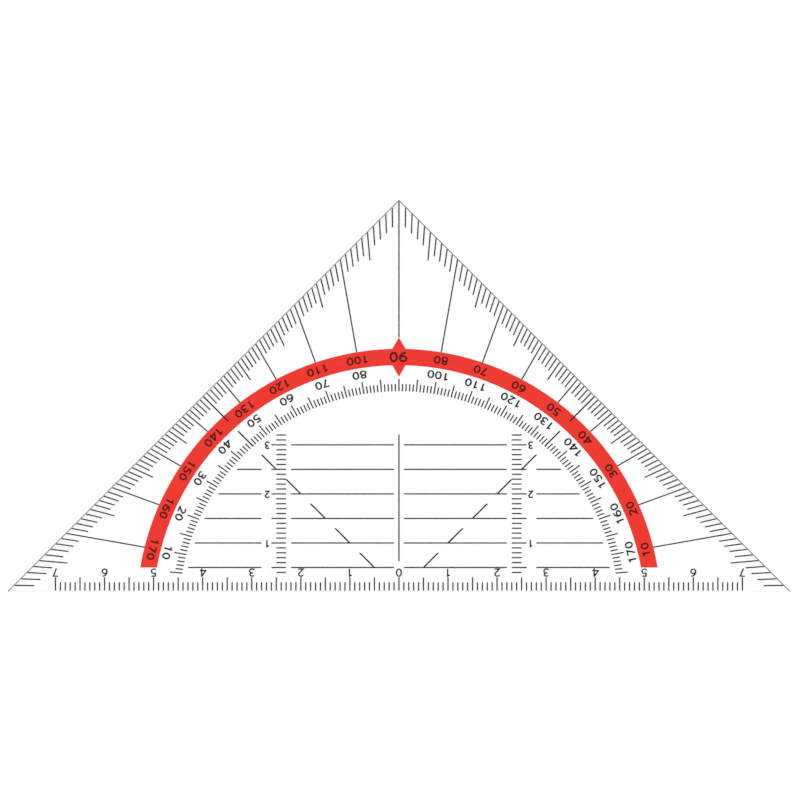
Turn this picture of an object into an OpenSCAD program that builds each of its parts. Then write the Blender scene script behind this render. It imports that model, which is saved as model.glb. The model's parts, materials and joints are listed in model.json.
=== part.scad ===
// Flexible set square: a clear right-angled sheet with a millimetre rule on its long edge,
// a degree scale on each short side, a red protractor band and a drawing grid.
// The zero mark, in the middle of the long edge, is the origin. The right angle lies
// towards +Y. The marks are pressed into the underside, at Z = 0, and filled flush with ink.

/* [Plate] */
// Length of the long edge
long_edge = 160; // [120:2:240]
// Thickness of the sheet
plate_t = 1.5; // [0.8:0.1:4]
// Radius of the three corners
corner_r = 0.2; // [0.1:0.05:0.5]
// Bevel along the top of the two short sides
side_bevel = 0.25; // [0.05:0.05:0.4]

/* [Marks] */
// Depth to which the marks are pressed into the underside
mark_depth = 0.04; // [0.02:0.01:0.3]
// Width of a line
line_w = 0.25; // [0.1:0.01:0.35]
// Width of the lines at 45 degrees
mid_line_w = 0.29; // [0.1:0.01:0.4]
// Bare strip between the long edge and its rule
edge_margin = 0.3; // [0.1:0.05:0.5]
// Gap between the red ink and a black line that runs up to it
ink_gap = 0.02; // [0.02:0.01:0.2]

/* [Protractor band] */
// Distance of the arcs' centre below the long edge
arc_drop = 3.9; // [0:0.1:8]
// Least distance from the band to a short side
band_to_side = 5.85; // [5.2:0.05:10]
// Width of the band
band_w = 3.35; // [2:0.05:5]
// Height of the band's flat ends above the long edge
band_floor = 5; // [3:0.5:9]
// Length of the diamond at 90 degrees
diamond_l = 8; // [4:0.1:10]
// Width of the diamond at 90 degrees
diamond_w = 4.7; // [2:0.1:8]

/* [Side scales] */
// Bare strip between a short side and its marks
side_margin = 0.1; // [0.05:0.05:0.4]
// Depth of a one degree tick, square to the side
side_tick = 3.1; // [1:0.1:3.5]
// Depth of a five degree tick, square to the side
side_five_tick = 4.6; // [3.6:0.1:5]
// Distance that the 45 degree mark runs into the band
mid_mark_reach = 1.5; // [0.5:0.1:1.8]

/* [Degree ring] */
// Distance from the feet of the ticks to the band
ring_to_band = 5.3; // [4.8:0.1:8]
// First degree on the ring
ring_from = 5; // [3:1:10]
// Length of a one degree tick
ring_tick = 1.5; // [0.8:0.1:2]
// Length of a five degree tick
ring_five_tick = 2.5; // [1.5:0.1:3]
// Length of the 45 degree ticks
ring_mid_tick = 4.4; // [2:0.1:4.7]

/* [Long edge rule] */
// Least bare length between the rule and each end of the long edge
rule_bare_end = 9; // [6:1:20]
// Length of a millimetre tick
mm_tick = 1.7; // [1:0.1:2]
// Length of a five millimetre tick
five_mm_tick = 2.7; // [1.5:0.1:3]

/* [Drawing grid] */
// Distance between the grid and the degree ring
grid_to_ring = 0.95; // [0.5:0.05:3]
// Distance between two parallel lines
line_pitch = 5; // [4:1:10]
// Gap between the height line and the parallel lines
height_line_gap = 1; // [0.3:0.1:3]
// Height at which the height line starts
height_line_from = 6.3; // [5:0.1:10]
// Distance of the two offset rules from the height line
offset_x = 23; // [12:1:24]
// Height of the lowest rung of an offset rule
offset_from = 4; // [4:1:8]
// Length of a rung
rung_l = 2; // [1:0.1:2.5]
// Length of a rung that is level with a parallel line
long_rung_l = 3; // [2:0.1:3.5]
// Gap between the parallel lines and the offset rules
rung_gap = 1; // [0.5:0.1:2]
// Room for the numbers beside an offset rule
number_gap = 2; // [1.5:0.1:3]
// Rise of a diagonal dash
dash_rise = 3; // [1:0.1:3.5]

/* [Hidden] */

// Flat steps round a full circle: of the protractor's arcs, and of the plate's corners.
arc_steps = 180;
corner_steps = 24;

// The short sides meet at a right angle, so half of the long edge is also the height.
half = long_edge / 2;
root2 = sqrt(2);
right_angle = 90;
mid_angle = right_angle / 2;
// Divisions of the rules and scales, in millimetres and degrees.
step = 1;
five = 5;
ten = 10;
// Distance by which a cut runs past the face it opens.
cut_past = 0.5;

band_r = (half + arc_drop) / root2 - band_to_side;
band_inner_r = band_r - band_w;
diamond_y = (band_r + band_inner_r) / 2 - arc_drop;
ring_r = band_inner_r - ring_to_band;
grid_r = ring_r - grid_to_ring;
rule_reach = ten * floor((half - rule_bare_end) / ten);
top_rung = floor(sqrt(grid_r ^ 2 - (offset_x + rung_l) ^ 2) - arc_drop);
line_outer_x = offset_x + long_rung_l + number_gap;

plastic = [0.9, 0.95, 0.97, 0.35];
black_ink = [0.08, 0.08, 0.08];
red_ink = [0.94, 0.24, 0.2];

// Distance from the zero mark, along a ray, to a line at some inset from the right-hand side.
function to_side(angle, inset) = (half - inset * root2) / (cos(angle) + sin(angle));

// Distance from the zero mark, along a ray, to an arc of the protractor.
function to_arc(angle, r) = sqrt(r ^ 2 - (arc_drop * cos(angle)) ^ 2) - arc_drop * sin(angle);

// Half width of the grid at some height.
function grid_x(y) = sqrt(grid_r ^ 2 - (y + arc_drop) ^ 2);

// Is a diagonal dash that starts at this height inside the grid?
function dash_fits(y) = norm([y + dash_rise, y + dash_rise + arc_drop]) < grid_r;

function divides(division, value) = value % division == 0;

function is_mid(angle) = angle % right_angle == mid_angle;

function ray_width(angle) = is_mid(angle) ? mid_line_w : line_w;

function side_mark_foot(angle) =
    is_mid(angle) ? to_arc(angle, band_r - mid_mark_reach)
    : divides(ten, angle) ? to_arc(angle, band_r + ink_gap)
    : to_side(angle, divides(five, angle) ? side_five_tick : side_tick);

// The ray's outer corner lies on the margin, so its middle stops a little short of it.
function side_mark_head(angle) =
    to_side(angle, side_margin) - ray_width(angle) / 2 * tan(abs(angle - mid_angle));

function ring_mark_length(angle) =
    is_mid(angle) ? ring_mid_tick
    : divides(five, angle) ? ring_five_tick
    : ring_tick;

// The marks, as flat shapes on the underside.

module both_hands() {
    children();
    mirror([1, 0])
        children();
}

module ray_mark(angle, from, to) {
    width = ray_width(angle);
    rotate(angle)
        translate([from, -width / 2])
            square([to - from, width]);
}

module level_mark(y, from, to) {
    translate([from, y - line_w / 2])
        square([to - from, line_w]);
}

module upright_mark(x, from, to) {
    translate([x - line_w / 2, from])
        square([line_w, to - from]);
}

module side_mark(angle) {
    ray_mark(angle, side_mark_foot(angle), side_mark_head(angle));
}

module side_marks() {
    for (angle = [step : step : right_angle - step])
        side_mark(angle);
}

module diamond() {
    tip = diamond_l / 2;
    corner = diamond_w / 2;
    translate([0, diamond_y])
        polygon([[0, -tip], [corner, 0], [0, tip], [-corner, 0]]);
}

module protractor_disc(r) {
    translate([0, -arc_drop])
        circle(r, $fn = arc_steps);
}

module band_arc() {
    difference() {
        protractor_disc(band_r);
        protractor_disc(band_inner_r);
        translate([-long_edge, band_floor - long_edge])
            square([2 * long_edge, long_edge]);
    }
}

module band_marks() {
    difference() {
        union() {
            band_arc();
            diamond();
        }
        both_hands() side_mark(mid_angle);
    }
}

module ring_marks() {
    difference() {
        for (angle = [ring_from : step : 2 * right_angle - ring_from]) {
            head_r = ring_r + ring_mark_length(angle);
            ray_mark(angle, to_arc(angle, ring_r), to_arc(angle, head_r));
        }
        diamond();
    }
}

module rule_marks() {
    for (x = [-rule_reach : step : rule_reach])
        upright_mark(x, edge_margin, edge_margin + (divides(five, x) ? five_mm_tick : mm_tick));
}

module height_marks() {
    upright_mark(0, height_line_from, top_rung + line_w / 2);
    upright_mark(0, diamond_y + diamond_l / 2 + ink_gap, half - side_margin * root2 - line_w / 2);
}

module offset_marks() {
    for (y = [offset_from : step : top_rung])
        level_mark(y, offset_x, offset_x + (divides(line_pitch, y) ? long_rung_l : rung_l));
}

module parallel_marks() {
    for (y = [line_pitch : line_pitch : top_rung]) {
        level_mark(y, height_line_gap, offset_x - rung_gap);
        if (grid_x(y) > line_outer_x + line_w)
            level_mark(y, line_outer_x, grid_x(y));
    }
}

module diagonal_dash(y) {
    foot = y + line_w / 2;
    head = y + dash_rise;
    side = mid_line_w / root2;
    polygon([[foot - side, foot], [foot + side, foot], [head + side, head], [head - side, head]]);
}

module diagonal_marks() {
    difference() {
        for (y = [line_pitch : line_pitch : top_rung])
            if (dash_fits(y))
                diagonal_dash(y);
        offset_marks();
    }
}

// Flat marks become solids of the depth to which they are pressed in.

module pressed(past = 0) {
    translate([0, 0, -past])
        linear_extrude(mark_depth + past)
            children();
}

module left_hand() {
    mirror([1, 0, 0])
        children();
}

// A wedge along the top of the right-hand side, with its slope at 45 degrees.
module side_bevel_cut() {
    translate([half / 2, half / 2, plate_t])
        rotate([right_angle, 0, mid_angle])
            linear_extrude(long_edge, center = true)
                polygon([
                    [-side_bevel, 0],
                    [cut_past, -side_bevel - cut_past],
                    [cut_past, cut_past],
                    [-side_bevel, cut_past],
                ]);
}

module plate_blank() {
    difference() {
        linear_extrude(plate_t)
            offset(r = corner_r, $fn = corner_steps)
                offset(delta = -corner_r)
                    polygon([[-half, 0], [half, 0], [0, half]]);
        side_bevel_cut();
        left_hand()
            side_bevel_cut();
    }
}

module plate() {
    color(plastic)
        difference() {
            plate_blank();
            pressed(cut_past) band_marks();
            pressed(cut_past) ring_marks();
            pressed(cut_past) rule_marks();
            pressed(cut_past) height_marks();
            pressed(cut_past) both_hands() side_marks();
            pressed(cut_past) both_hands() offset_marks();
            pressed(cut_past) both_hands() parallel_marks();
            pressed(cut_past) both_hands() diagonal_marks();
        }
}

module protractor_band() {
    color(red_ink)
        pressed()
            band_marks();
}

module right_side_scale() {
    color(black_ink)
        pressed()
            side_marks();
}

module left_side_scale() {
    left_hand()
        right_side_scale();
}

module degree_ring() {
    color(black_ink)
        pressed()
            ring_marks();
}

module long_edge_rule() {
    color(black_ink)
        pressed()
            rule_marks();
}

module height_line() {
    color(black_ink)
        pressed()
            height_marks();
}

module right_offset_rule() {
    color(black_ink)
        pressed()
            offset_marks();
}

module left_offset_rule() {
    left_hand()
        right_offset_rule();
}

module right_parallel_lines() {
    color(black_ink)
        pressed()
            parallel_marks();
}

module left_parallel_lines() {
    left_hand()
        right_parallel_lines();
}

module right_diagonal() {
    color(black_ink)
        pressed()
            diagonal_marks();
}

module left_diagonal() {
    left_hand()
        right_diagonal();
}

plate();
protractor_band();
right_side_scale();
left_side_scale();
degree_ring();
long_edge_rule();
height_line();
right_offset_rule();
left_offset_rule();
right_parallel_lines();
left_parallel_lines();
right_diagonal();
left_diagonal();
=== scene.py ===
import json
import math

import bmesh
import bpy
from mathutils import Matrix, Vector


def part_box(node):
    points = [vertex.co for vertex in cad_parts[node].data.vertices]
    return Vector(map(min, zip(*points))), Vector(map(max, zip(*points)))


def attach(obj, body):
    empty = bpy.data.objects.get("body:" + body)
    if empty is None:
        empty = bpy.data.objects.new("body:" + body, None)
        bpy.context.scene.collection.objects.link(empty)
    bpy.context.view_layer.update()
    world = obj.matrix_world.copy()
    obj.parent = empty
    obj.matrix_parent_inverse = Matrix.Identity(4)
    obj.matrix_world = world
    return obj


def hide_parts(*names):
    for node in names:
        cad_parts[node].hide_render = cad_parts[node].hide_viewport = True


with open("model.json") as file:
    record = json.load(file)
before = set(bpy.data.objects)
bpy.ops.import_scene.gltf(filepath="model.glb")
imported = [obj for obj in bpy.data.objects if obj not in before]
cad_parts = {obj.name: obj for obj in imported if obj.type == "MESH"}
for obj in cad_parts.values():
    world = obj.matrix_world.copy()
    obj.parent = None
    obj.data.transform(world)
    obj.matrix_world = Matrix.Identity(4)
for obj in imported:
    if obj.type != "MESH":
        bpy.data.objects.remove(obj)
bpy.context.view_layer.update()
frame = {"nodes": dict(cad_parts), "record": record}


# The plate: one clear, flexible plastic sheet, cut to a right-angled triangle with two equal sides.
# Both faces are polished and slightly rubbed from use. The cut edges are streaked and half clear, with
# painted shade and reflection in their grey.
# The top of each short side is ground to a fine slope, whose grey is painted shade that shows as the
# thin dark line along that edge.
MM = 0.001
ROOT2 = math.sqrt(2)
plate_low, plate_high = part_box("plate")
# Rounding takes root 2 radii off each end of the long edge, and one radius less off the height.
corner_radius = plate_high.y - plate_high.x
half_length = plate_high.x + corner_radius * ROOT2
level_within = 0.01 * MM
plate_points = [vertex.co for vertex in frame["nodes"]["plate"].data.vertices]
top_face = [point for point in plate_points if point.z > plate_high.z - level_within]
side_slope = (half_length - max(point.x + point.y for point in top_face)) / ROOT2
ink_stands_proud = 0.02 * MM
edge_softness = 0.03 * MM
half_soft = edge_softness * (1 - 1 / ROOT2)
top_corner_radius = 0.06 * MM
corner_steps = 8
FACE, EDGE, SLOPE = range(3)


def sheet_outline(height, side_inset, base_inset, radius):
    """The sheet's outline at this height, moved in from both short sides and from the long edge."""
    apex = half_length - ROOT2 * (side_inset + radius)
    base = base_inset + radius
    points = []
    for x, y, start, end in (
        (apex - base, base, -90, 45),
        (0, apex, 45, 135),
        (base - apex, base, 135, 270),
    ):
        for step in range(corner_steps + 1):
            angle = math.radians(start + (end - start) * step / corner_steps)
            points.append((x + radius * math.cos(angle), y + radius * math.sin(angle), height))
    return points


underside = plate_low.z + ink_stands_proud
top = plate_high.z
cut_edge_outlines = [
    sheet_outline(underside, edge_softness, edge_softness, corner_radius - edge_softness),
    sheet_outline(underside + half_soft, half_soft, half_soft, corner_radius - half_soft),
    sheet_outline(underside + edge_softness, 0, 0, corner_radius),
    sheet_outline(top - side_slope, 0, 0, corner_radius),
]
slope_outlines = [
    sheet_outline(top - edge_softness, side_slope - edge_softness, 0, top_corner_radius),
    sheet_outline(top - half_soft, side_slope - half_soft, half_soft, top_corner_radius),
    sheet_outline(top, side_slope, edge_softness, top_corner_radius),
]
sheet = bmesh.new()
rings = [[sheet.verts.new(point) for point in ring] for ring in cut_edge_outlines + slope_outlines]
sheet.faces.new(reversed(rings[0])).material_index = FACE
sheet.faces.new(rings[-1]).material_index = FACE
around = len(rings[0])
ground_sides = range(corner_steps // 2 + 1, around - corner_steps // 2)
for level in range(1, len(rings)):
    lower, upper = rings[level - 1], rings[level]
    for i in range(around):
        wall = sheet.faces.new((lower[i - 1], lower[i], upper[i], upper[i - 1]))
        sloping = level >= len(cut_edge_outlines) and i in ground_sides
        wall.material_index = SLOPE if sloping else EDGE
plate_mesh = bpy.data.meshes.new("clear_plate")
sheet.to_mesh(plate_mesh)
sheet.free()
plate = bpy.data.objects.new("clear_plate", plate_mesh)
bpy.context.scene.collection.objects.link(plate)


def new_material(name):
    """A material with its tree, its main shader and its output."""
    material = bpy.data.materials.new(name)
    material.use_nodes = True
    tree = material.node_tree
    return material, tree, tree.nodes["Principled BSDF"], tree.nodes["Material Output"]


def grain(tree, size, detail=2.0, stretch=(1, 1, 1)):
    """An even grain, whose grains are about this many metres across, on the piece's own coordinates."""
    place = tree.nodes.new("ShaderNodeTexCoord")
    turn = tree.nodes.new("ShaderNodeMapping")
    turn.inputs["Scale"].default_value = stretch
    noise = tree.nodes.new("ShaderNodeTexNoise")
    noise.inputs["Scale"].default_value = 1 / size
    noise.inputs["Detail"].default_value = detail
    tree.links.new(place.outputs["Object"], turn.inputs["Vector"])
    tree.links.new(turn.outputs["Vector"], noise.inputs["Vector"])
    return noise.outputs["Fac"]


def between(tree, share, low, high):
    """The value between low and high where the grain has its usual range."""
    usual_low, usual_high = 0.3, 0.7
    ramp = tree.nodes.new("ShaderNodeMapRange")
    ramp.inputs["From Min"].default_value = usual_low
    ramp.inputs["From Max"].default_value = usual_high
    ramp.inputs["To Min"].default_value = low
    ramp.inputs["To Max"].default_value = high
    tree.links.new(share, ramp.inputs["Value"])
    return ramp.outputs["Result"]


def shade(tree, share, dark, light):
    """The colour between dark and light where the grain has its usual range."""
    mix = tree.nodes.new("ShaderNodeMix")
    mix.data_type = "RGBA"
    colours = [socket for socket in mix.inputs if socket.type == "RGBA"]
    colours[0].default_value = (*dark, 1)
    colours[1].default_value = (*light, 1)
    tree.links.new(between(tree, share, 0, 1), mix.inputs["Factor"])
    return next(socket for socket in mix.outputs if socket.type == "RGBA")


def relief(tree, height, depth, strength):
    """A bump of this depth in metres, at some strength from 0 to 1."""
    bump = tree.nodes.new("ShaderNodeBump")
    bump.inputs["Strength"].default_value = strength
    bump.inputs["Distance"].default_value = depth
    tree.links.new(height, bump.inputs["Height"])
    return bump.outputs["Normal"]


def let_light_by(tree, surface, output, share):
    """Lets this share of the light that falls on the table go straight on through the surface."""
    path = tree.nodes.new("ShaderNodeLightPath")
    open_way = tree.nodes.new("ShaderNodeBsdfTransparent")
    open_way.inputs["Color"].default_value = (share, share, share, 1)
    shader = surface.outputs["BSDF"]
    for ray in ("Is Shadow Ray", "Is Diffuse Ray"):
        choice = tree.nodes.new("ShaderNodeMixShader")
        tree.links.new(path.outputs[ray], choice.inputs["Fac"])
        tree.links.new(shader, choice.inputs[1])
        tree.links.new(open_way.outputs["BSDF"], choice.inputs[2])
        shader = choice.outputs["Shader"]
    tree.links.new(shader, output.inputs["Surface"])


clear_plastic, tree, clear, output = new_material("clear_plastic")
clear.inputs["Base Color"].default_value = (1, 1, 1, 1)
clear.inputs["Transmission Weight"].default_value = 1
clear.inputs["IOR"].default_value = 1.49
rubbed = grain(tree, 9 * MM, detail=6, stretch=(1, 3, 1))
tree.links.new(between(tree, rubbed, 0.01, 0.05), clear.inputs["Roughness"])
wavy = grain(tree, 25 * MM)
tree.links.new(relief(tree, wavy, depth=0.02 * MM, strength=0.5), clear.inputs["Normal"])
let_light_by(tree, clear, output, share=1)

cut_plastic, tree, cut_edge, output = new_material("cut_plastic")
streaks = grain(tree, 0.5 * MM, detail=3, stretch=(1, 1, 0.08))
# The grey of the cut edge, with its upright streaks, is painted shade and painted reflection of the
# print seen inside the clear sheet; the same streaks also set the cut's roughness and bumps.
streaks_and_painted_edge_shade = shade(tree, streaks, dark=(0.5, 0.52, 0.53), light=(0.72, 0.74, 0.75))
tree.links.new(streaks_and_painted_edge_shade, cut_edge.inputs["Base Color"])
tree.links.new(between(tree, streaks, 0.18, 0.4), cut_edge.inputs["Roughness"])
tree.links.new(relief(tree, streaks, depth=0.01 * MM, strength=0.5), cut_edge.inputs["Normal"])
let_light_by(tree, cut_edge, output, share=0.9)

ground_plastic, tree, ground, output = new_material("ground_plastic")
ground.inputs["Specular IOR Level"].default_value = 0.3
scored = grain(tree, 0.12 * MM, detail=3)
# The slope's dark grey is painted shade for the thin line along the edge, not the colour of ground
# clear plastic; its scoring sets the roughness and bumps.
painted_slope_shade = shade(tree, scored, dark=(0.26, 0.265, 0.27), light=(0.35, 0.355, 0.36))
tree.links.new(painted_slope_shade, ground.inputs["Base Color"])
tree.links.new(between(tree, scored, 0.45, 0.65), ground.inputs["Roughness"])
tree.links.new(relief(tree, scored, depth=0.01 * MM, strength=0.6), ground.inputs["Normal"])
let_light_by(tree, ground, output, share=0.8)

for finish in (clear_plastic, cut_plastic, ground_plastic):
    plate_mesh.materials.append(finish)
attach(plate, "root")
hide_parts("plate")


# The red print: the protractor band with its diamond, a film of satin ink on the underside of the
# plate. It is opaque, and its density varies a little, as screen printed ink does.
def printing_ink(name, grain_size, dark, light):
    """A satin ink between two densities, with the fine marks of the printing screen."""
    ink, tree, film, _ = new_material(name)
    film.inputs["Specular IOR Level"].default_value = 0.03
    density = grain(tree, grain_size, detail=4)
    tree.links.new(shade(tree, density, dark, light), film.inputs["Base Color"])
    tree.links.new(between(tree, density, 0.38, 0.5), film.inputs["Roughness"])
    mesh_marks = grain(tree, 0.08 * MM)
    tree.links.new(relief(tree, mesh_marks, depth=0.003 * MM, strength=0.4), film.inputs["Normal"])
    return ink


def give_ink(node, ink):
    """Gives the solids of a node this ink all over."""
    finishes = frame["nodes"][node].data.materials
    finishes.clear()
    finishes.append(ink)


red_ink = printing_ink(
    "red_ink", grain_size=0.7 * MM, dark=(0.85, 0.034, 0.022), light=(0.9, 0.039, 0.026)
)
give_ink("protractor_band", red_ink)


# The black print: the rules, the degree scales and the drawing grid, in a satin ink like that of the
# band and printed in one pass, so every line has the same depth and blackness.
black_ink = printing_ink(
    "black_ink", grain_size=0.4 * MM, dark=(0.007, 0.007, 0.008), light=(0.012, 0.012, 0.013)
)
for part in frame["record"]["subparts"]:
    if part["material_slot"] == "black_ink":
        give_ink(part["node"], black_ink)


# The figures that the numbers are set from: plain upright figures of one pen width, drawn here one
# unit high about their middle. Each is a film of black ink, as deep as the lines of the scales.
ink_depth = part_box("long_edge_rule")[1].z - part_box("long_edge_rule")[0].z


def bow(x, y, width, height, start, end):
    """A stroke along part of an ellipse, from one angle to another, in degrees."""
    fewest_steps, step_angle = 3, 20
    steps = max(fewest_steps, round(abs(end - start) / step_angle))
    angles = [math.radians(start + (end - start) * step / steps) for step in range(steps + 1)]
    return [(x + width * math.cos(angle), y + height * math.sin(angle)) for angle in angles]


def figure_strokes(top):
    """The pen's way for each figure from 0 to 9, as strokes between the lines -top and top."""
    six = [
        bow(0.17, -0.11, 0.43, 0.11 + top, 82, 180),
        bow(0, -0.16, 0.26, top - 0.16, 0, 360),
    ]
    return [
        [bow(0, 0, 0.26, top, 0, 360)],
        [[(-0.2, 0.28), (0.04, top), (0.04, -0.45)]],
        [[*bow(-0.02, 0.19, 0.25, top - 0.19, 155, -25), (-0.24, -top), (0.28, -top)]],
        [
            [*bow(-0.04, 0.24, 0.24, top - 0.24, 150, -90), (-0.14, 0.045)],
            [(-0.14, 0.045), *bow(-0.04, -0.195, 0.28, 0.24, 90, -150)],
        ],
        [[(0.31, -0.25), (-0.34, -0.25), (0.11, 0.46)], [(0.11, 0.5), (0.11, -0.5)]],
        [
            [(0.23, top), (-0.18, top), (-0.2, 0.0)],
            bow(-0.03, -0.17, 0.27, 0.265, 130, -150),
        ],
        six,
        [[(-0.27, top), (0.23, top), (-0.1, -0.5)]],
        [bow(0, 0.235, 0.21, top - 0.235, 0, 360), bow(0, -0.2, 0.26, 0.235, 0, 360)],
        [[(-x, -y) for x, y in stroke] for stroke in six],
    ]


def pen_sides(stroke, i, closed, pen):
    """The points half a pen to the left and to the right of point i of a stroke, mitred at corners."""
    sharpest_mitre = 0.4
    here = Vector(stroke[i])
    ways = []
    if closed or i > 0:
        ways.append((here - Vector(stroke[i - 1])).normalized())
    if closed or i < len(stroke) - 1:
        ways.append((Vector(stroke[(i + 1) % len(stroke)]) - here).normalized())
    along = sum(ways, Vector((0, 0))).normalized()
    side = Vector((-along.y, along.x)) * pen / 2 / max(sharpest_mitre, along.dot(ways[0]))
    return here + side, here - side


joining_tree = bpy.data.node_groups.new("joined strokes", "GeometryNodeTree")
joining_tree.interface.new_socket("Strokes", in_out="INPUT", socket_type="NodeSocketGeometry")
joining_tree.interface.new_socket("Film", in_out="OUTPUT", socket_type="NodeSocketGeometry")
strokes_in = joining_tree.nodes.new("NodeGroupInput")
film_out = joining_tree.nodes.new("NodeGroupOutput")
union = joining_tree.nodes.new("GeometryNodeMeshBoolean")
union.operation = "UNION"
union.solver = "EXACT"
union.inputs["Self Intersection"].default_value = True
joining_tree.links.new(strokes_in.outputs["Strokes"], union.inputs["Mesh 2"])
joining_tree.links.new(union.outputs["Mesh"], film_out.inputs["Film"])


def joined_strokes(name, corners, faces):
    """One closed film from strokes that may cross each other."""
    mesh = bpy.data.meshes.new(name)
    mesh.from_pydata(corners, [], faces)
    drawing = bpy.data.objects.new(name, mesh)
    bpy.context.scene.collection.objects.link(drawing)
    drawing.modifiers.new("joined", "NODES").node_group = joining_tree
    bpy.context.view_layer.update()
    whole = drawing.evaluated_get(bpy.context.evaluated_depsgraph_get())
    film = bpy.data.meshes.new_from_object(whole)
    bpy.data.objects.remove(drawing)
    return film


def figure_set(name, pen):
    """A box of the ten figures, drawn with a pen of this width."""
    box = bpy.data.collections.new(name)
    corners_each = 4
    same_point = pen / 100
    for figure, strokes in enumerate(figure_strokes(0.5 - pen / 2)):
        corners, faces = [], []
        for stroke in strokes:
            closed = (Vector(stroke[0]) - Vector(stroke[-1])).length < same_point
            stroke = stroke[:-1] if closed else stroke
            first = len(corners)
            for i in range(len(stroke)):
                left, right = pen_sides(stroke, i, closed, pen)
                corners += [(*left, 0), (*right, 0), (*left, ink_depth), (*right, ink_depth)]
            for i in range(len(stroke) if closed else len(stroke) - 1):
                a, b = (first + corners_each * (j % len(stroke)) for j in (i, i + 1))
                faces += [
                    (a, b, b + 1, a + 1),
                    (a + 3, b + 3, b + 2, a + 2),
                    (b, a, a + 2, b + 2),
                    (a + 1, b + 1, b + 3, a + 3),
                ]
            if not closed:
                last = first + corners_each * (len(stroke) - 1)
                faces.append((first, first + 1, first + 3, first + 2))
                faces.append((last + 1, last, last + 2, last + 3))
        film = joined_strokes(f"{name}_{figure}", corners, faces)
        box.objects.link(bpy.data.objects.new(f"{name}_{figure}", film))
    return box


fine_figures = figure_set("fine_figures", pen=0.15)
middle_figures = figure_set("middle_figures", pen=0.168)
strong_figures = figure_set("strong_figures", pen=0.18)


# The numbers of the two protractor scales: each stands on its degree ray and is set round the arc,
# with its foot outwards. Those of the inner scale are on clear plastic. Those of the outer scale are
# printed before the red band, as a thin black that the red behind it shows through a little.
thin_black_ink = printing_ink(
    "thin_black_ink", grain_size=0.4 * MM, dark=(0.075, 0.002, 0.0015), light=(0.095, 0.004, 0.003)
)


def number_tree(name, sizes):
    """A new tree with these named inputs, given as name and socket type, and its inputs by name."""
    tree = bpy.data.node_groups.new(name, "GeometryNodeTree")
    for size, kind in sizes:
        tree.interface.new_socket(size, in_out="INPUT", socket_type=f"NodeSocket{kind}")
    tree.interface.new_socket("Numbers", in_out="OUTPUT", socket_type="NodeSocketGeometry")
    return tree, tree.nodes.new("NodeGroupInput").outputs


def feed(tree, node, values):
    """Gives a node its inputs in turn, from sockets and plain numbers, and returns its output."""
    for socket, value in zip(node.inputs, values):
        if isinstance(value, bpy.types.NodeSocket):
            tree.links.new(value, socket)
        else:
            socket.default_value = value
    return node.outputs[0]


def work_out(tree, operation, *values):
    """The result of one sum."""
    node = tree.nodes.new("ShaderNodeMath")
    node.operation = operation
    return feed(tree, node, values)


def in_space(tree, *values):
    """Three numbers joined to a vector."""
    return feed(tree, tree.nodes.new("ShaderNodeCombineXYZ"), values)


def set_figures(tree, size, count, place, shown, figure, turn):
    """Sets a figure at each place, turned and stretched, as plain mesh in the tree's ink."""
    points = tree.nodes.new("GeometryNodePoints")
    box = tree.nodes.new("GeometryNodeCollectionInfo")
    setter = tree.nodes.new("GeometryNodeInstanceOnPoints")
    plain = tree.nodes.new("GeometryNodeRealizeInstances")
    inked = tree.nodes.new("GeometryNodeSetMaterial")
    tree.links.new(size["Figures"], box.inputs["Collection"])
    box.inputs["Separate Children"].default_value = True
    setter.inputs["Pick Instance"].default_value = True
    tree.links.new(size["Ink"], inked.inputs["Material"])
    tree.links.new(count, points.inputs["Count"])
    tree.links.new(place, points.inputs["Position"])
    tree.links.new(points.outputs[0], setter.inputs["Points"])
    tree.links.new(shown, setter.inputs["Selection"])
    tree.links.new(box.outputs[0], setter.inputs["Instance"])
    tree.links.new(figure, setter.inputs["Instance Index"])
    tree.links.new(in_space(tree, 0, 0, turn), setter.inputs["Rotation"])
    width = work_out(tree, "MULTIPLY", size["Height"], size["Stretch"])
    tree.links.new(in_space(tree, width, size["Height"], 1), setter.inputs["Scale"])
    tree.links.new(setter.outputs[0], plain.inputs[0])
    tree.links.new(plain.outputs[0], inked.inputs["Geometry"])
    tree.links.new(inked.outputs[0], tree.nodes.new("NodeGroupOutput").inputs["Numbers"])


def printed(name, tree, sizes):
    """The numbers that a tree sets with these sizes, as one piece of the black print."""
    piece = bpy.data.objects.new(name, bpy.data.meshes.new(name))
    bpy.context.scene.collection.objects.link(piece)
    setting = piece.modifiers.new("numbers", "NODES")
    setting.node_group = tree
    for socket in tree.interface.items_tree:
        if socket.in_out == "INPUT":
            setting[socket.identifier] = sizes[socket.name]
    bpy.context.view_layer.update()
    shown = piece.evaluated_get(bpy.context.evaluated_depsgraph_get())
    set_mesh = bpy.data.meshes.new_from_object(shown)
    piece.modifiers.remove(setting)
    piece.data = set_mesh
    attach(piece, "root")


# Each number has room for three figures, and those it doesn't need stay empty on its left.
PLACES = 3
BASE = 10
HALF = 0.5
arc_tree, size = number_tree(
    "numbers on an arc",
    [
        ("Figures", "Collection"),
        ("Ink", "Material"),
        ("First number", "Int"),
        ("Number step", "Int"),
        ("Count", "Int"),
        ("First angle", "Float"),
        ("Angle step", "Float"),
        ("Arc radius", "Float"),
        ("Arc drop", "Float"),
        ("Foot", "Float"),
        ("Height", "Float"),
        ("Stretch", "Float"),
        ("Pitch", "Float"),
        ("Slide", "Float"),
    ],
)


def arc_sum(operation, *values):
    """The result of one sum in the tree of the numbers on an arc."""
    return work_out(arc_tree, operation, *values)


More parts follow.
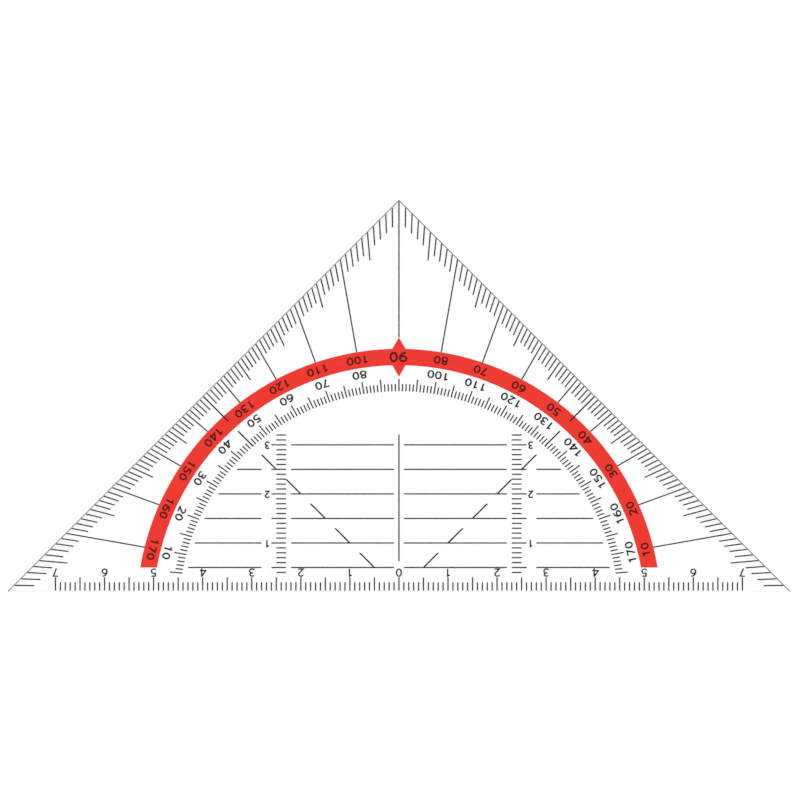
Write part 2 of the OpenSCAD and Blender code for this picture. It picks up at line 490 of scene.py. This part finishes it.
# Which figure stands at each place of each number, and how far from the number's middle.
index = arc_tree.nodes.new("GeometryNodeInputIndex").outputs[0]
turn_no = arc_sum("FLOOR", arc_sum("DIVIDE", index, PLACES))
place_no = arc_sum("SUBTRACT", index, arc_sum("MULTIPLY", turn_no, PLACES))
number = arc_sum("MULTIPLY_ADD", turn_no, size["Number step"], size["First number"])
power = arc_sum("POWER", BASE, arc_sum("SUBTRACT", PLACES - 1, place_no))
figure = arc_sum("MODULO", arc_sum("FLOOR", arc_sum("DIVIDE", number, power)), BASE)
last_place = arc_sum("FLOOR", arc_sum("LOGARITHM", arc_sum("ADD", number, HALF), BASE))
column = arc_sum("SUBTRACT", place_no, arc_sum("SUBTRACT", PLACES - 1, last_place))
shown = arc_sum("GREATER_THAN", column, -HALF)
centred = arc_sum("MULTIPLY_ADD", last_place, -HALF, column)

# Where the ray from the zero mark meets the arc, whose centre lies lower by the arc's drop.
ray = arc_sum("RADIANS", arc_sum("MULTIPLY_ADD", turn_no, size["Angle step"], size["First angle"]))
level = arc_sum("COSINE", ray)
rise = arc_sum("SINE", ray)
drop_across = arc_sum("MULTIPLY", size["Arc drop"], level)
radius_squared = arc_sum("MULTIPLY", size["Arc radius"], size["Arc radius"])
drop_squared = arc_sum("MULTIPLY", drop_across, drop_across)
from_foot = arc_sum("SQRT", arc_sum("SUBTRACT", radius_squared, drop_squared))
reach = arc_sum("MULTIPLY_ADD", size["Arc drop"], arc_sum("MULTIPLY", rise, -1), from_foot)
meets_up = arc_sum("MULTIPLY_ADD", reach, rise, size["Arc drop"])
meets_across = arc_sum("MULTIPLY", reach, level)
bearing = arc_sum("ARCTAN2", meets_up, meets_across)

# Each figure is moved along the arc from there, and turned with it.
along = arc_sum("MULTIPLY_ADD", centred, size["Pitch"], size["Slide"])
heading = arc_sum("ADD", bearing, arc_sum("DIVIDE", along, size["Arc radius"]))
across = arc_sum("MULTIPLY", size["Arc radius"], arc_sum("COSINE", heading))
above_centre = arc_sum("MULTIPLY", size["Arc radius"], arc_sum("SINE", heading))
up = arc_sum("SUBTRACT", above_centre, size["Arc drop"])
set_figures(
    arc_tree,
    size,
    count=arc_sum("MULTIPLY", size["Count"], PLACES),
    place=in_space(arc_tree, across, up, size["Foot"]),
    shown=shown,
    figure=figure,
    turn=arc_sum("ADD", heading, math.pi / 2),
)

inner_scale = {
    "Figures": middle_figures,
    "Ink": black_ink,
    "Number step": -10,
    "Count": 8,
    "Angle step": 10.0,
    "Arc radius": 48.75 * MM,
    "Arc drop": 3.9 * MM,
    "Foot": 0.0,
    "Height": 1.66 * MM,
    "Stretch": 1.22,
    "Pitch": 1.55 * MM,
    "Slide": 0.0,
}
band_scale = {
    **inner_scale,
    "Figures": strong_figures,
    "Ink": thin_black_ink,
    "Number step": 10,
    "Arc radius": 51.82 * MM,
    "Foot": 0.01 * MM,
}
right_half = {"First angle": 10.0, "Slide": -0.24 * MM}
left_half = {"First angle": 100.0, "Slide": 0.1 * MM}
inner_left_half = {**left_half, "Slide": 0.22 * MM}
diamond_number = {
    "First angle": 90.0,
    "Count": 1,
    "Height": 2.14 * MM,
    "Stretch": 1.15,
    "Pitch": 1.92 * MM,
    "Slide": 0.1 * MM,
}
for name, scale, place, first_number in (
    ("inner_numbers_right", inner_scale, right_half, 170),
    ("inner_numbers_left", inner_scale, inner_left_half, 80),
    ("band_numbers_right", band_scale, right_half, 10),
    ("band_numbers_left", band_scale, left_half, 100),
    ("band_number_middle", band_scale, diamond_number, 90),
):
    printed(name, arc_tree, {**scale, **place, "First number": first_number})


# The numbers of the straight rules: centimetres, one figure each, black on the clear plastic. They
# are turned as the others are, so that they read from the side of the right angle.
line_tree, size = number_tree(
    "numbers on a line",
    [
        ("Figures", "Collection"),
        ("Ink", "Material"),
        ("First number", "Int"),
        ("Count", "Int"),
        ("Across", "Float"),
        ("Up", "Float"),
        ("Step across", "Float"),
        ("Step up", "Float"),
        ("Height", "Float"),
        ("Stretch", "Float"),
    ],
)
index = line_tree.nodes.new("GeometryNodeInputIndex").outputs[0]
signed = work_out(line_tree, "ADD", index, size["First number"])
across = work_out(line_tree, "MULTIPLY_ADD", signed, size["Step across"], size["Across"])
up = work_out(line_tree, "MULTIPLY_ADD", signed, size["Step up"], size["Up"])
set_figures(
    line_tree,
    size,
    count=size["Count"],
    place=in_space(line_tree, across, up, 0),
    shown=work_out(line_tree, "GREATER_THAN", size["Count"], index),
    figure=work_out(line_tree, "ABSOLUTE", signed),
    turn=math.pi,
)
printed(
    "rule_numbers",
    line_tree,
    {
        "Figures": fine_figures,
        "Ink": black_ink,
        "First number": -7,
        "Count": 15,
        "Across": 0.0,
        "Up": 3.96 * MM,
        "Step across": 10 * MM,
        "Step up": 0.0,
        "Height": 1.7 * MM,
        "Stretch": 1.1,
    },
)
for name, hand in (("offset_numbers_right", 1), ("offset_numbers_left", -1)):
    printed(
        name,
        line_tree,
        {
            "Figures": strong_figures,
            "Ink": black_ink,
            "First number": 1,
            "Count": 3,
            "Across": hand * 26.85 * MM,
            "Up": -0.1 * MM,
            "Step across": 0.0,
            "Step up": 10 * MM,
            "Height": 1.55 * MM,
            "Stretch": 1.0,
        },
    )


# The table top that the set square lies on: white, matt and large enough to fill every view. It
# glows a little where it is seen, also through the plate, so that it shows as plain white.
floor_reach = 4
floor_glow = 0.18
floor_corners = [
    (x * floor_reach, y * floor_reach, -ink_stands_proud)
    for x, y in ((-1, -1), (1, -1), (1, 1), (-1, 1))
]
floor_mesh = bpy.data.meshes.new("table_top")
floor_mesh.from_pydata(floor_corners, [], [(0, 1, 2, 3)])
floor = bpy.data.objects.new("table_top", floor_mesh)
bpy.context.scene.collection.objects.link(floor)
white_top, tree, matt, output = new_material("white_top")
matt.inputs["Base Color"].default_value = (0.9, 0.9, 0.9, 1)
matt.inputs["Roughness"].default_value = 0.9
matt.inputs["Specular IOR Level"].default_value = 0
path = tree.nodes.new("ShaderNodeLightPath")
seen = path.outputs["Is Camera Ray"]
for ray in ("Is Glossy Ray", "Is Transmission Ray"):
    seen = work_out(tree, "MAXIMUM", seen, path.outputs[ray])
matt.inputs["Emission Color"].default_value = (1, 1, 1, 1)
tree.links.new(work_out(tree, "MULTIPLY", seen, floor_glow), matt.inputs["Emission Strength"])
floor_mesh.materials.append(white_top)


# Light and camera: an even pale studio with a soft box on each side, and a camera with a long lens
# that looks straight down, with the right angle at the top.
world = bpy.data.worlds.new("studio")
bpy.context.scene.world = world
world.use_nodes = True
tree = world.node_tree
sky = tree.nodes["Background"]
place = tree.nodes.new("ShaderNodeTexCoord")
split = tree.nodes.new("ShaderNodeSeparateXYZ")
tree.links.new(place.outputs["Generated"], split.inputs["Vector"])
lift = tree.nodes.new("ShaderNodeValToRGB")
horizon, overhead = lift.color_ramp.elements
horizon.position = 0.08
horizon.color = (1, 1, 1, 1)
overhead.position = 0.95
overhead.color = (0.2, 0.2, 0.2, 1)
halfway_up = lift.color_ramp.elements.new(0.35)
halfway_up.color = (0.5, 0.5, 0.5, 1)
tree.links.new(split.outputs["Z"], lift.inputs["Fac"])
tree.links.new(lift.outputs["Color"], sky.inputs["Color"])
middle = Vector((0.22 * MM, 39.14 * MM, 0))
soft_box_size = 4
soft_box_aside = 3
soft_box_height = 4.8
left_watts = 197
right_watts = 83
for hand, watts in ((-1, left_watts), (1, right_watts)):
    lamp = bpy.data.lights.new("soft_box", "AREA")
    lamp.shape = "SQUARE"
    lamp.size = soft_box_size
    lamp.energy = watts
    soft_box = bpy.data.objects.new("soft_box", lamp)
    soft_box.location = middle + Vector((hand * soft_box_aside, 0, soft_box_height))
    soft_box.rotation_mode = "QUATERNION"
    soft_box.rotation_quaternion = (middle - soft_box.location).to_track_quat("-Z", "Y")
    bpy.context.scene.collection.objects.link(soft_box)

lens = bpy.data.cameras.new("long_lens")
lens.lens = 800
lens.sensor_width = 36
seen_width = 163.07 * MM
camera = bpy.data.objects.new("long_lens", lens)
camera.location = middle + Vector((0, 0, seen_width * lens.lens / lens.sensor_width))
bpy.context.scene.collection.objects.link(camera)
bpy.context.scene.camera = camera
bpy.context.scene.view_settings.view_transform = "Standard"
